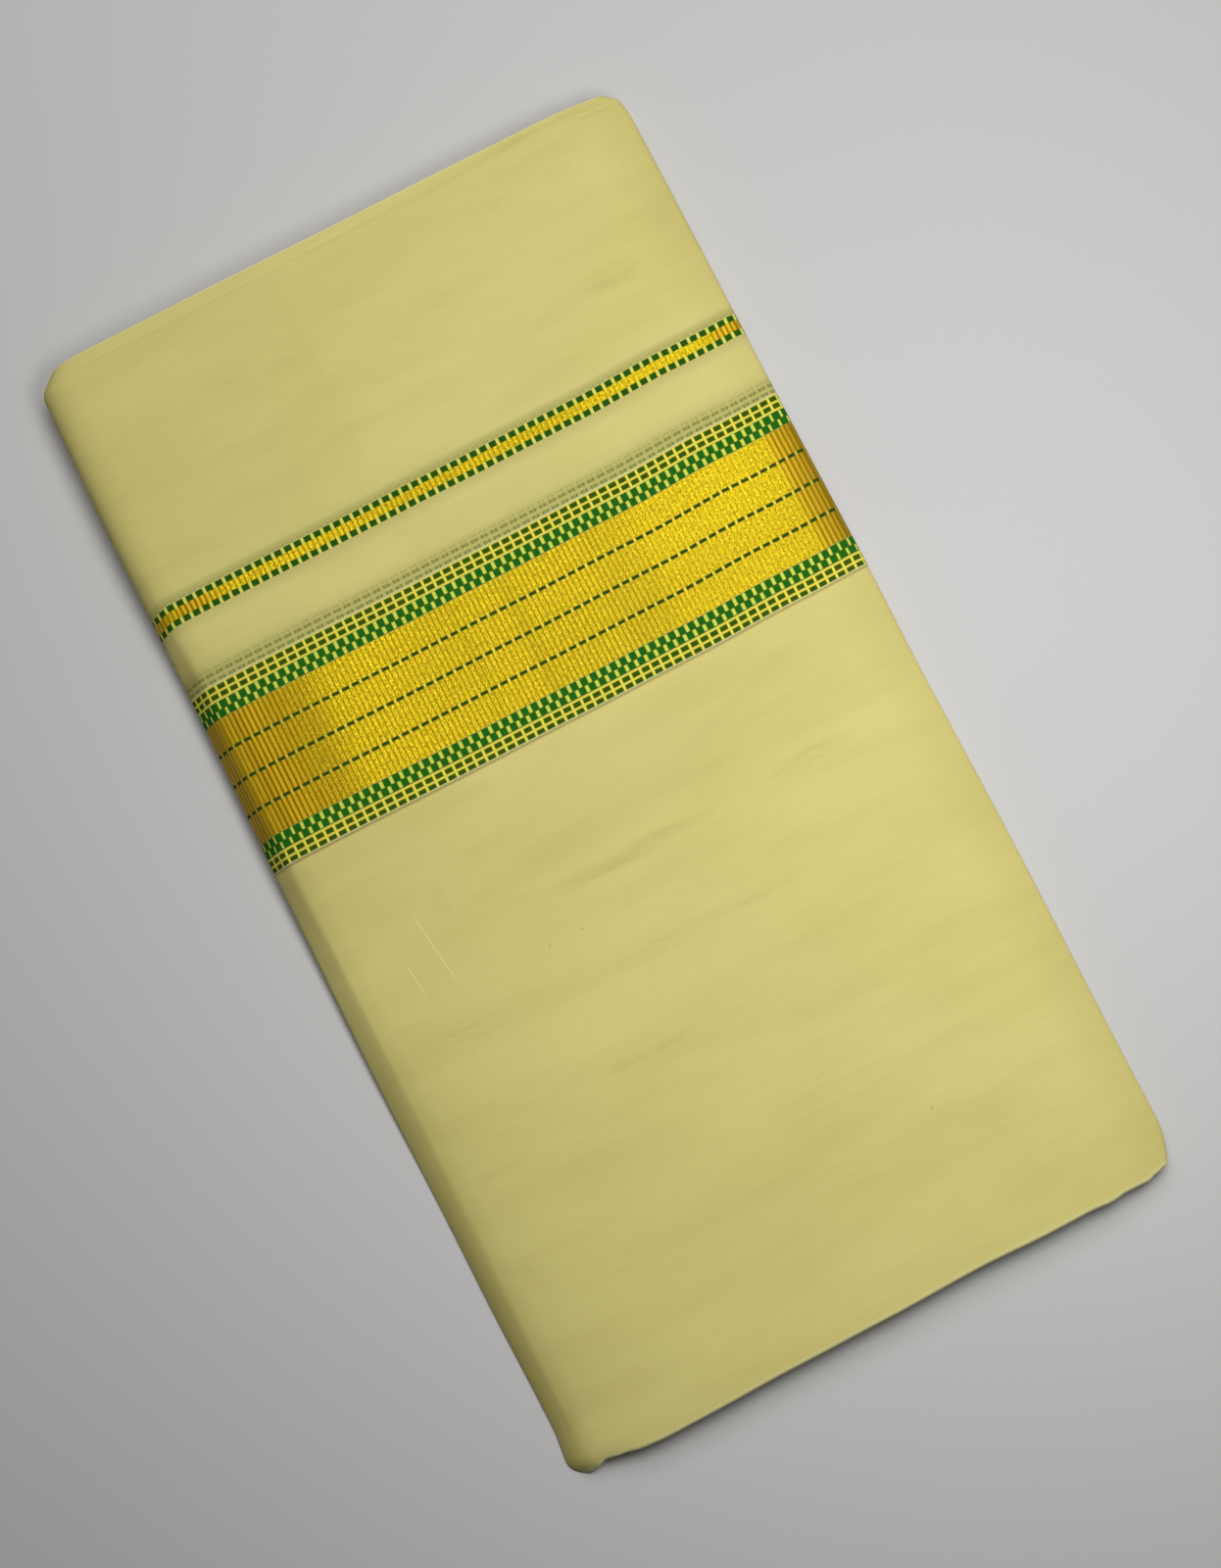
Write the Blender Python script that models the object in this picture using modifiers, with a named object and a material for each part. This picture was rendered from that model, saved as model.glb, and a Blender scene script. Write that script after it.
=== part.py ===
"""A folded dhoti: one long fine cotton cloth with a woven gold and green border, folded flat.

The cloth is folded in half across its width, selvedge on selvedge, and that end is turned
over as a flap that shows the border. It is then folded to one panel's width: halved twice,
both ends brought to the middle, and closed like a book. So the left side is one wrap round
the whole pack, the right side is two bends, and the top and bottom edges show every fold.

Metres, +Z up. The pack lies on Z = 0 with its long side along Y, the turned-over edge at +Y,
and the origin in the middle of its underside.
"""

import math
from typing import NamedTuple

import bmesh
import bpy

# The pack
PACK_LENGTH = 0.430  # turned-over edge to bottom fold
PACK_WIDTH = 0.234  # one panel
FLAP_LENGTH = 0.1981  # turned-over edge to the selvedge that ends the flap
FLAP_THICKNESS = 0.016  # sixteen panels of four layers
PANEL_THICKNESS = 0.012  # sixteen panels of two layers
BORDER_RISE = 0.0008  # the metallic border is the thickest cloth in the pack
WALL = 0.001
GAP = 0.0003

# How the pack rounds off
WRAP_DEPTH = 0.0095  # left side, one wrap
BEND_DEPTH = 0.0080  # right side, two bends
FOLD_RADIUS = 0.0015  # the outer layer's turn at the top and bottom edges
TOP_LEDGE = 0.0040  # inner folds run on past the flap's own fold
BOTTOM_LEDGE = 0.0010
LEFT_SLOPE_DEPTH = 0.0020  # the top face falls away towards the wrap
LEFT_SLOPE_WIDTH = 0.038
RIGHT_SLOPE_DEPTH = 0.0030  # and towards the two bends
RIGHT_SLOPE_WIDTH = 0.038
THINNING_LENGTH = 0.045  # the four layers come down to two over this length
TUCK = 0.012  # how far the lower panel runs on under the flap

# Layers that show at the top and bottom edges
LEAVES_PER_BEND = 4
LEAF_GROOVE = 0.0006
LEAF_STAGGER = 0.0004

# Steps of the meshes
BEND_STEPS = 8
WRAP_STEPS = 12
UNDERSIDE_STEPS = 4

HALF_LENGTH = PACK_LENGTH / 2
HALF_WIDTH = PACK_WIDTH / 2
SELVEDGE_Y = HALF_LENGTH - FLAP_LENGTH
FLAP_FOLD_Y = HALF_LENGTH - TOP_LEDGE
PANEL_FOLD_Y = -HALF_LENGTH + BOTTOM_LEDGE
INSIDE = WALL + GAP

# Columns of the top face, as shares of its width from the right: closest at the sides
TUCK_SHARE = 0.015
TOP_SHARES = (
    *(0.0, TUCK_SHARE, 0.035, 0.070, 0.12, 0.20, 0.30, 0.42, 0.54, 0.66, 0.76),
    *(0.83, 0.88, 0.93, 0.965, 1 - TUCK_SHARE),
)
# Columns of the hidden layers: a share of that width, and how far out into the side's round
CORE_COLUMNS = (
    *((0.0, 1.0), (0.0, 0.5), (0.0, 0.0)),
    *((share, 0.0) for share in TOP_SHARES if share not in (0.0, 0.12, 0.30, 0.54, 0.76)),
    *((1.0, 0.0), (1.0, 0.5), (1.0, 1.0)),
)

# The long sides aren't quite straight: (y, how far the side stands outside the half width)
LEFT_SIDE = (
    (-0.215, -0.0004),
    (-0.207, -0.0002),
    (-0.195, -0.0009),
    (-0.140, 0.0000),
    (-0.060, 0.0007),
    (0.010, 0.0004),
    (0.070, -0.0004),
    (0.150, -0.0003),
    (0.215, -0.0010),
)
RIGHT_SIDE = (
    (-0.215, -0.0014),
    (-0.190, -0.0006),
    (-0.110, 0.0001),
    (0.060, 0.0003),
    (0.170, 0.0004),
    (0.215, 0.0001),
)
# Nor are the short edges: (x, how far the edge stands outside the half length)
TOP_EDGE = (
    (-0.117, -0.0010),
    (-0.090, -0.0005),
    (-0.020, 0.0002),
    (0.065, 0.0008),
    (0.100, 0.0003),
    (0.117, 0.0000),
)
BOTTOM_EDGE = (
    (-0.117, -0.0004),
    (-0.111, -0.0003),
    (-0.105, -0.0018),
    (-0.099, -0.0009),
    (-0.082, 0.0007),
    (-0.050, 0.0006),
    (0.030, -0.0002),
    (0.087, 0.0005),
    (0.099, -0.0003),
    (0.105, 0.0001),
    (0.117, -0.0010),
)
# Plan radius at each corner
TOP_LEFT_RADIUS = 0.011
TOP_RIGHT_RADIUS = 0.007
BOTTOM_LEFT_RADIUS = 0.006
BOTTOM_RIGHT_RADIUS = 0.007

# Colours across the flap, from the turned-over edge down: (start, end, colour)
BORDER_BANDS = (
    (0.0982, 0.1000, "green"),
    (0.1000, 0.1036, "gold"),
    (0.1036, 0.1060, "green"),
    (0.1308, 0.1414, "green"),
    (0.1414, 0.1858, "gold"),
    (0.1858, 0.1973, "green"),
)


def ease(t):
    t = min(max(t, 0.0), 1.0)
    return t * t * (3 - 2 * t)


def along(table, at):
    """The table's second column at this place, eased from row to row."""
    if at <= table[0][0]:
        return table[0][1]
    for (start, low), (end, high) in zip(table, table[1:]):
        if at <= end:
            return low + (high - low) * ease((at - start) / (end - start))
    return table[-1][1]


def corner_inset(radius, past):
    """How far a rounded corner draws a side in, this far past the corner's start."""
    past = min(max(past, 0.0), radius)
    return radius - math.sqrt(radius * radius - past * past)


def left_x(y, ends, inset=0.0):
    """The wrap's outermost x at y, for a piece with its turned edges at these two y."""
    top, bottom = ends
    drawn = corner_inset(TOP_LEFT_RADIUS - inset, y - top + TOP_LEFT_RADIUS)
    drawn += corner_inset(BOTTOM_LEFT_RADIUS - inset, bottom - y + BOTTOM_LEFT_RADIUS)
    return -HALF_WIDTH - along(LEFT_SIDE, y) + inset + drawn


def right_x(y, ends, inset=0.0):
    top, bottom = ends
    drawn = corner_inset(TOP_RIGHT_RADIUS - inset, y - top + TOP_RIGHT_RADIUS)
    drawn += corner_inset(BOTTOM_RIGHT_RADIUS - inset, bottom - y + BOTTOM_RIGHT_RADIUS)
    return HALF_WIDTH + along(RIGHT_SIDE, y) - inset - drawn


def wavy_y(x, y):
    """y moved with the uneven top or bottom edge, more the nearer it is to that edge."""
    share = ease(abs(y) / HALF_LENGTH * 4 - 3)
    if y > 0:
        return y + along(TOP_EDGE, x) * share
    return y - along(BOTTOM_EDGE, x) * share


def thickness(x, y):
    """The pack's full thickness at a place: more under the flap, most along the border."""
    under_flap = ease((y - SELVEDGE_Y + THINNING_LENGTH) / THINNING_LENGTH)
    full = PANEL_THICKNESS + (FLAP_THICKNESS - PANEL_THICKNESS) * under_flap
    border_middle = (BORDER_BANDS[3][0] + BORDER_BANDS[-1][1]) / 2
    off_border = abs(HALF_LENGTH - border_middle - y) / 0.060
    full += BORDER_RISE * (1 - ease(off_border))
    from_wrap = (x + HALF_WIDTH - WRAP_DEPTH) / LEFT_SLOPE_WIDTH
    to_bends = 1 - (HALF_WIDTH - BEND_DEPTH - x) / RIGHT_SLOPE_WIDTH
    full -= RIGHT_SLOPE_DEPTH * min(max(to_bends, 0.0), 1.0) ** 2
    return full - LEFT_SLOPE_DEPTH * (1 - ease(from_wrap))


def wrap_point(kind, t, y, inset, ends, lowered=0.0):
    """A point of the outer wrap: kind and t go once round the section, from the slit between
    the right side's two bends, over the top, round the left side and back along the underside.
    A piece under another's level is lowered by that piece's wall."""
    wrap_start = left_x(y, ends, inset) + WRAP_DEPTH - inset
    bend_start = right_x(y, ends, inset) - BEND_DEPTH + inset
    if kind == "top":
        x = bend_start + (wrap_start - bend_start) * t
        return x, thickness(x, y) - lowered - inset
    if kind == "underside":
        return wrap_start + (bend_start - wrap_start) * t, inset
    if kind == "wrap":
        half = (thickness(wrap_start, y) - lowered) / 2
        turn = math.pi * (0.5 + t)
        return (
            wrap_start + (WRAP_DEPTH - inset) * math.cos(turn),
            half + (half - inset) * math.sin(turn),
        )
    middle, half_bend = bend_heights(kind, thickness(bend_start, y) - lowered)
    turn = math.pi * (t - 0.5)
    return (
        bend_start + (BEND_DEPTH - inset) * math.cos(turn),
        middle + (half_bend - inset) * math.sin(turn),
    )


def bend_heights(kind, full):
    """The middle height and half the thickness of one of the right side's two bends."""
    half_bend = (full - GAP) / 4
    return (half_bend, half_bend) if kind == "lower bend" else (full - half_bend, half_bend)


def wrap_stations():
    """(kind, t) once round the section."""
    bend = [step / BEND_STEPS for step in range(BEND_STEPS)]
    wrap = [step / WRAP_STEPS for step in range(WRAP_STEPS)]
    underside = [step / UNDERSIDE_STEPS for step in range(UNDERSIDE_STEPS)]
    runs = (
        ("upper bend", bend),
        ("top", TOP_SHARES),
        ("wrap", wrap),
        ("underside", underside),
        ("lower bend", [*bend, 1.0]),
    )
    return [(kind, t) for kind, shares in runs for t in shares]


def material(name, colour, roughness, metallic):
    made = bpy.data.materials.new(name)
    made.use_nodes = True
    shader = made.node_tree.nodes["Principled BSDF"]
    shader.inputs["Base Color"].default_value = (*colour, 1)
    shader.inputs["Roughness"].default_value = roughness
    shader.inputs["Metallic"].default_value = metallic
    made.diffuse_color = (*colour, 1)
    return made


def object_from(mesh_data, name, collection, *materials):
    mesh = bpy.data.meshes.new(name)
    mesh_data.to_mesh(mesh)
    mesh_data.free()
    for each in materials:
        mesh.materials.append(each)
    mesh.shade_smooth()
    mesh.set_sharp_from_angle(angle=math.radians(50))
    made = bpy.data.objects.new(name, mesh)
    collection.objects.link(made)
    return made


def wall_sheet(rows, place):
    """A grid wrapped once round the pack: place gives a vertex from its station and row."""
    stations = wrap_stations()
    sheet = bmesh.new()
    bmesh.ops.create_grid(
        sheet, x_segments=len(stations) - 1, y_segments=len(rows) - 1, size=1
    )
    for vertex in sheet.verts:
        column = round((vertex.co.x + 1) / 2 * (len(stations) - 1))
        row = round((vertex.co.y + 1) / 2 * (len(rows) - 1))
        vertex.co = place(stations[column], rows[row])
    bmesh.ops.reverse_faces(sheet, faces=sheet.faces)
    return sheet


def give_wall(sheet_object):
    wall = sheet_object.modifiers.new("Cloth wall", "SOLIDIFY")
    wall.thickness = WALL
    wall.offset = -1
    wall.use_even_offset = True


def fold_rows(fold_y, inward):
    """(y, inset) down to a turned edge: the plan corner's steps, then the turn itself.
    inward is the direction of y from the edge into the piece."""
    rows = [(fold_y + inward * step, 0.0) for step in (0.0100, 0.0060, 0.0030)]
    for degrees in (0, 35, 65, 90):
        turn = math.radians(degrees)
        rows.append(
            (
                fold_y + inward * FOLD_RADIUS * (1 - math.sin(turn)),
                FOLD_RADIUS * (1 - math.cos(turn)),
            )
        )
    return rows


def build_flap(collection, cotton, gold, green):
    """The outer layer from the turned-over edge to the selvedge, all round the pack."""
    borders = sorted({HALF_LENGTH - edge for band in BORDER_BANDS for edge in band[:2]})
    plain = (0.135, 0.155, 0.175, 0.190)
    rows = [(y, 0.0) for y in (*borders, *plain)]
    rows += fold_rows(FLAP_FOLD_Y, -1)

    def place(station, row):
        y, inset = row
        x, z = wrap_point(*station, y, inset, (FLAP_FOLD_Y, -1))
        return x, wavy_y(x, y), z

    sheet = wall_sheet(rows, place)
    colours = {"gold": 1, "green": 2}
    for face in sheet.faces:
        from_top = HALF_LENGTH - face.calc_center_median().y
        for start, end, colour in BORDER_BANDS:
            if start < from_top < end:
                face.material_index = colours[colour]
    flap = object_from(sheet, "border_flap", collection, cotton, gold, green)
    give_wall(flap)


def build_lower_panel(collection, cotton):
    """The outer layer below the flap, all round the pack. Its top face lies one layer lower
    than the flap's and runs on under it."""
    plain = (-0.190, -0.165, -0.135, -0.105, -0.080, -0.060, -0.045, -0.032, -0.020, -0.008)
    rows = fold_rows(PANEL_FOLD_Y, 1)[::-1]
    rows += [(y, 0.0) for y in (*plain, 0.005, SELVEDGE_Y - 2 * GAP, SELVEDGE_Y + TUCK)]

    def place(station, row):
        kind, t = station
        y, inset = row
        on_top = kind == "top" and TUCK_SHARE <= t <= 1 - TUCK_SHARE
        if y > SELVEDGE_Y and not on_top:
            y = SELVEDGE_Y - 1.8 * GAP
        x, z = wrap_point(kind, t, y, inset, (1, PANEL_FOLD_Y), INSIDE)
        return x, wavy_y(x, y), z

    panel = object_from(wall_sheet(rows, place), "lower_panel", collection, cotton)
    give_wall(panel)


class CoreRow(NamedTuple):
    """One row of the hidden layers, across the pack."""

    y: float
    outline_y: float  # where its outline is read
    ends: tuple  # of that outline
    inset: float
    side_inset: float
    slit: float = GAP  # above and below the slit between the two bends
    narrow: bool = False  # inside the outer layer's turned edge
    face_lowered: float = INSIDE  # where the lower panel is the top wall
    sides_lowered: float = INSIDE


def core_rows():
    """From the bottom edge up. At each end the layers narrow to pass inside the outer layer's
    turn, and spread again beyond it."""
    whole = (HALF_LENGTH, -HALF_LENGTH)
    outer = (FLAP_FOLD_Y, PANEL_FOLD_Y)
    inside = WALL + 2 * GAP
    through = FOLD_RADIUS + 4 * GAP
    below = PANEL_FOLD_Y - 2 * GAP
    above = FLAP_FOLD_Y + 2 * GAP
    panel_rows = (
        *(PANEL_FOLD_Y + 2 * inside, -0.206, -0.195, -0.165, -0.135, -0.105, -0.080),
        *(-0.060, -0.045, -0.032, -0.020, -0.008, 0.005),
    )
    flap_rows = (
        *(0.045, 0.060, 0.090, 0.120, 0.150, 0.175, 0.195, 0.202),
        FLAP_FOLD_Y - 2 * inside,
    )
    step_y = SELVEDGE_Y - 1.5 * GAP
    return (
        CoreRow(-HALF_LENGTH, -HALF_LENGTH, whole, through, GAP),
        CoreRow(below, below, whole, through, GAP),
        CoreRow(below, PANEL_FOLD_Y, outer, through, through, narrow=True),
        CoreRow(PANEL_FOLD_Y + inside, PANEL_FOLD_Y, outer, through, through, narrow=True),
        *(CoreRow(y, y, outer, inside, inside, inside) for y in (*panel_rows, step_y)),
        *(
            CoreRow(y, y, outer, inside, inside, inside, sides_lowered=0.0)
            for y in (step_y + GAP, SELVEDGE_Y + TUCK + 2 * GAP)
        ),
        *(CoreRow(y, y, outer, inside, inside, inside, False, 0.0, 0.0) for y in flap_rows),
        CoreRow(FLAP_FOLD_Y - inside, FLAP_FOLD_Y, outer, through, through, GAP, True, 0.0, 0.0),
        CoreRow(above, FLAP_FOLD_Y, outer, through, through, GAP, True, 0.0, 0.0),
        CoreRow(above, above, whole, through, GAP, GAP, False, 0.0, 0.0),
        CoreRow(HALF_LENGTH, HALF_LENGTH, whole, through, GAP, GAP, False, 0.0, 0.0),
    )


def core_levels():
    """(which bend, t) of each level of the hidden layers, from the underside up."""
    steps = 2 * LEAVES_PER_BEND
    return [(bend, step / steps) for bend in ("lower", "upper") for step in range(steps + 1)]


def core_point(column, row, level):
    """A point of the hidden layers."""
    bend, t = level
    squeeze = 6 * GAP if row.narrow else 0.0
    wrap_start = left_x(row.outline_y, row.ends, row.side_inset)
    wrap_start += WRAP_DEPTH - row.side_inset + squeeze
    bend_start = right_x(row.outline_y, row.ends, row.side_inset)
    bend_start -= BEND_DEPTH - row.side_inset + squeeze
    share, out = CORE_COLUMNS[column]
    x = bend_start + (wrap_start - bend_start) * share
    face = thickness(x, row.y) - row.face_lowered
    full = thickness(x, row.y) - row.sides_lowered
    low, high = row.inset, (full - GAP) / 2 - row.slit
    if bend == "upper":
        low, high = (full + GAP) / 2 + row.slit, face - row.inset
    z = low + (high - low) * t
    if share == 0.0:
        middle, half_bend = bend_heights(f"{bend} bend", full)
        reach = 0.0 if row.narrow else half_ellipse((z - middle) / (half_bend - row.inset))
        x += (BEND_DEPTH - row.side_inset) * reach * out - (5 - 3 * out) * GAP
    if share == 1.0:
        reach = half_ellipse((2 * z - full) / (full - 2 * row.inset))
        x -= (WRAP_DEPTH - row.side_inset) * reach * out - 3 * (1 - out) * GAP
    return x, row.y, z


def half_ellipse(rise):
    """How far out half an ellipse stands at this share of its half height, as a share."""
    return math.sqrt(max(0.0, 1 - rise * rise))


def build_core(collection, cotton):
    """The hidden layers as one solid, whose top and bottom edges show the stacked folds."""
    rows = core_rows()
    levels = core_levels()
    counts = (len(CORE_COLUMNS) - 1, len(rows) - 1, len(levels) - 1)
    block = bmesh.new()
    bmesh.ops.create_cube(block, size=1)
    for vertex in block.verts:
        vertex.co = [(share + 0.5) * count for share, count in zip(vertex.co, counts)]
    for axis, count in enumerate(counts):
        normal = [float(axis == each) for each in range(3)]
        for cut in range(1, count):
            bmesh.ops.bisect_plane(
                block,
                geom=block.verts[:] + block.edges[:] + block.faces[:],
                plane_co=[part * cut for part in normal],
                plane_no=normal,
            )
    for vertex in block.verts:
        column, row, level = (round(part) for part in vertex.co)
        x, y, z = core_point(column, rows[row], levels[level])
        if row in (0, len(rows) - 1):
            groove = LEAF_GROOVE if level % 2 == 0 else 0.0
            groove += LEAF_STAGGER * (1 + math.sin(1.9 * level + 25 * x)) / 2
            y -= math.copysign(groove, y)
        vertex.co = x, wavy_y(x, y), z
    bmesh.ops.reverse_faces(block, faces=block.faces)
    object_from(block, "inner_folds", collection, cotton)


def main():
    for each in list(bpy.data.objects):
        bpy.data.objects.remove(each)
    collection = bpy.data.collections.new("Folded dhoti")
    bpy.context.scene.collection.children.link(collection)
    cotton = material("Cream cotton", (0.66, 0.59, 0.22), 0.9, 0.0)
    shaded = material("Cotton in the folds", (0.58, 0.52, 0.20), 0.9, 0.0)
    gold = material("Gold thread", (0.72, 0.45, 0.02), 0.4, 0.8)
    green = material("Green thread", (0.03, 0.20, 0.06), 0.7, 0.0)
    build_core(collection, shaded)
    build_lower_panel(collection, cotton)
    build_flap(collection, cotton, gold, green)


main()
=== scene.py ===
"""A folded dhoti, one long fine cotton cloth with a woven gold and green border, folded flat.

The cloth is folded in half across its width, selvedge on selvedge, that end is turned over as a
flap that shows the border, and the whole is folded to one panel's width. Metres, +Z up. The
pack lies on Z = 0 with its long side along Y, the turned-over edge at +Y.
"""

import math

import bpy
import mathutils
import numpy as np
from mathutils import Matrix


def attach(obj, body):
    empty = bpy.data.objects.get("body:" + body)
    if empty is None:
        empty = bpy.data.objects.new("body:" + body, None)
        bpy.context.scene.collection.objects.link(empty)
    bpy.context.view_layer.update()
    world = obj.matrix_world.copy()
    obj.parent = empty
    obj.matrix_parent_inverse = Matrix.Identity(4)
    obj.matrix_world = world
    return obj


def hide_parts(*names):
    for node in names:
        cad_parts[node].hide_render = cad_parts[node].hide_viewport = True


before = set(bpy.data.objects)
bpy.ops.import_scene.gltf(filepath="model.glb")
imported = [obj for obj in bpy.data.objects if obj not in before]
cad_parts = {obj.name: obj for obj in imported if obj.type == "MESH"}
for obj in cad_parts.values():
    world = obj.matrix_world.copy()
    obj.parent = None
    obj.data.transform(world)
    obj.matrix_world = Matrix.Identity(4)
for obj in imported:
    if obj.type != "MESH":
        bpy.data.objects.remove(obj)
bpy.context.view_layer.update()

# ---- The flap -----------------------------------------------------------------------------
# The cloth's selvedge end, turned over so that its border shows: fine handloom cotton, two
# layers of it, with extra weft of gold zari and green cotton woven in. Only folding holds it.

PACK_LENGTH = 0.430
PACK_WIDTH = 0.234
FLAP_LENGTH = 0.1981
HALF_LENGTH = PACK_LENGTH / 2
HALF_WIDTH = PACK_WIDTH / 2
# An end this far off draws in no corners
NO_END = 1
SELVEDGE_Y = HALF_LENGTH - FLAP_LENGTH
FLAP_FOLD_Y = HALF_LENGTH - 0.0040
# The pack's height: its plain part, and how much more the flap and the border's middle add
PLAIN_HEIGHT = 0.012
FLAP_RISE = 0.004
BORDER_RISE = 0.0008
HIGHEST_Y = HALF_LENGTH - 0.16405
# The right side's two bends: how far in they reach, how square they are, the slit between them
BEND_DEPTH = 0.0080
BEND_POWER = 0.76
SLIT = 0.0003
# How far in the left side's round reaches, and how far the top sinks by the right side
LEFT_REACH = 0.060
RIGHT_REACH = 0.038
RIGHT_DROP = 0.0030
# Points above the first height are on the top face, and points below the second underneath
TOP_ABOVE = 0.0045
UNDER_BELOW = 0.0015
CLOTH = 0.0006
# Points in a section's bends, and steps along its other stretches
BEND_POINTS = 21
UNDER_STEPS = 14
ROUND_STEPS = 64
TOP_STEPS = 112
BACK_STEPS = 40

# The long sides and the short edges aren't quite straight: (place, how far it stands out)
LEFT_SIDE = (
    *((-0.215, 0.0), (-0.209, 0.0), (-0.197, -0.0010), (-0.140, 0.0), (-0.060, 0.0007)),
    *((0.010, 0.0004), (0.070, -0.0004), (0.150, -0.0003), (0.215, -0.0010)),
)
RIGHT_SIDE = (
    *((-0.215, 0.0001), (-0.190, 0.0), (-0.080, 0.0009), (0.000, 0.0006)),
    *((0.060, 0.0004), (0.170, 0.0010), (0.215, 0.0010)),
)
TOP_EDGE = (
    *((-0.117, -0.0012), (-0.090, -0.0009), (-0.020, -0.0002), (0.065, 0.0006)),
    *((0.098, 0.0013), (0.108, 0.0009), (0.117, 0.0002)),
)
BOTTOM_EDGE = (
    *((-0.117, 0.0001), (-0.111, -0.0001), (-0.108, -0.0006), (-0.104, -0.0019)),
    *((-0.0985, -0.0012), (-0.090, 0.0001), (-0.082, 0.0005), (-0.067, 0.0002)),
    *((-0.035, -0.0005), (0.003, -0.0008), (0.041, -0.0016), (0.065, -0.0010)),
    *((0.081, -0.0011), (0.090, -0.0005), (0.095, -0.0011), (0.1045, -0.0008)),
    *((0.1075, -0.0018), (0.1117, -0.0026), (0.117, -0.0028)),
)
# How far each corner draws its side in: (in, over this length, power), left side then right,
# top corner first. The flap's own top corners are squarer than those of the layers under it.
CORNERS = (
    *((0.0062, 0.0080, 1.7), (0.0050, 0.0065, 2.0)),
    *((0.0054, 0.0066, 2.8), (0.0044, 0.0180, 2.0)),
)
FLAP_CORNERS = ((0.0012, 0.0050, 2.0), CORNERS[1], (0.0012, 0.0085, 2.0), CORNERS[3])
# The left side's round, over one wrap: (in from the outermost point, share of the height
# there), from the underside up. It is near half an ellipse under the turned-over edge, has a
# pressed facet along the border, and is a long slope down by the bottom fold.
LEFT_ROUNDS = (
    (
        *((0.0095, 0.0), (0.0065, 0.024), (0.0045, 0.069), (0.0030, 0.124), (0.0020, 0.177)),
        *((0.0010, 0.254), (0.0005, 0.311), (0.00015, 0.377), (0.0, 0.458), (0.00015, 0.538)),
        *((0.0005, 0.604), (0.0010, 0.662), (0.0020, 0.738), (0.0030, 0.791), (0.0040, 0.830)),
        *((0.0050, 0.860), (0.0070, 0.899), (0.0095, 0.922), (0.0140, 0.945), (0.0250, 0.975)),
        *((0.0400, 0.992), (0.0600, 1.0)),
    ),
    (
        *((0.0095, 0.0), (0.0065, 0.006), (0.0042, 0.025), (0.0027, 0.055), (0.0016, 0.095)),
        *((0.0008, 0.145), (0.0003, 0.195), (0.0001, 0.235), (0.0, 0.280), (0.0002, 0.330)),
        *((0.0006, 0.375), (0.0012, 0.425), (0.0024, 0.515), (0.0036, 0.600), (0.0048, 0.680)),
        *((0.0056, 0.728), (0.0064, 0.766), (0.0080, 0.812), (0.0130, 0.875), (0.0240, 0.942)),
        *((0.0400, 0.982), (0.0600, 1.0)),
    ),
    (
        *((0.0095, 0.0), (0.0065, 0.0), (0.0040, 0.0), (0.0025, 0.002), (0.0014, 0.006)),
        *((0.0007, 0.012), (0.0003, 0.020), (0.0001, 0.028), (0.0, 0.040), (0.0001, 0.055)),
        *((0.0003, 0.075), (0.0006, 0.100), (0.0014, 0.165), (0.0024, 0.240), (0.0036, 0.325)),
        *((0.0052, 0.420), (0.0072, 0.515), (0.0100, 0.615), (0.0150, 0.730), (0.0240, 0.855)),
        *((0.0400, 0.955), (0.0600, 1.0)),
    ),
)


def ease(t):
    t = np.clip(t, 0.0, 1.0)
    return t * t * (3 - 2 * t)


def along(table, at):
    """The table's second column at these places, eased from row to row."""
    places, values = np.array(table).T
    row = np.clip(np.searchsorted(places, at) - 1, 0, len(places) - 2)
    share = (at - places[row]) / (places[row + 1] - places[row])
    return values[row] + (values[row + 1] - values[row]) * ease(share)


def drawn_in(y, ends, corners):
    """How far a side's two corners draw it in, at this y between its ends."""
    past = (y - ends[0], ends[1] - y)
    return sum(
        deep * np.clip(1 + over / length, 0.0, 1.0) ** power
        for over, (deep, length, power) in zip(past, corners)
    )


def wavy_y(x, y):
    """y moved with the uneven top or bottom edge, more the nearer it is to that edge."""
    share = ease(np.abs(y) / HALF_LENGTH * 4 - 3)
    return y + np.where(y > 0, along(TOP_EDGE, x), -along(BOTTOM_EDGE, x)) * share


# How far the cloth is pulled towards the turned-over edge: (x, how far)
PULLED = (
    *((-0.117, -0.0004), (-0.050, -0.0005), (0.0, 0.0), (0.050, 0.0007)),
    *((0.090, 0.0023), (0.122, 0.0036)),
)
# How far the narrow stripe is dragged the other way at the left side
STRIPE_DRAG = 0.0013


def skew(x, down):
    """How far the cloth is pulled towards the turned-over edge here, more along the border."""
    pull = along(PULLED, x) * ease(down / 0.09) * (1 - 0.25 * ease((down - 0.150) / 0.05))
    dragged = (1 - ease((x + HALF_WIDTH) / 0.009)) * (1 - ease(abs(down - 0.100) / 0.024))
    return pull - STRIPE_DRAG * dragged


# Soft creases pressed into the faces: (x, down) of both ends, rise, half width
CREASES = (
    ((0.094, 0.2035), (0.013, 0.228), 0.00040, 0.0026),
    ((-0.117, 0.3520), (-0.098, 0.3632), -0.00030, 0.0022),
    ((-0.117, 0.3030), (-0.099, 0.3110), -0.00022, 0.0024),
    ((-0.060, 0.020), (-0.052, 0.092), -0.00016, 0.0050),
    ((0.020, 0.330), (0.100, 0.300), -0.00014, 0.0070),
    ((-0.040, 0.360), (0.060, 0.392), 0.00016, 0.0060),
    ((-0.085, 0.250), (-0.020, 0.262), 0.00012, 0.0060),
)
STEP_RISE = 0.00014
STEP_RUN = 0.003
# A low ridge in from the left side, below the flap
RIDGE_IN = 0.0068
RIDGE_HALF = 0.0012
RIDGE_RISE = 0.00016


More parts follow.
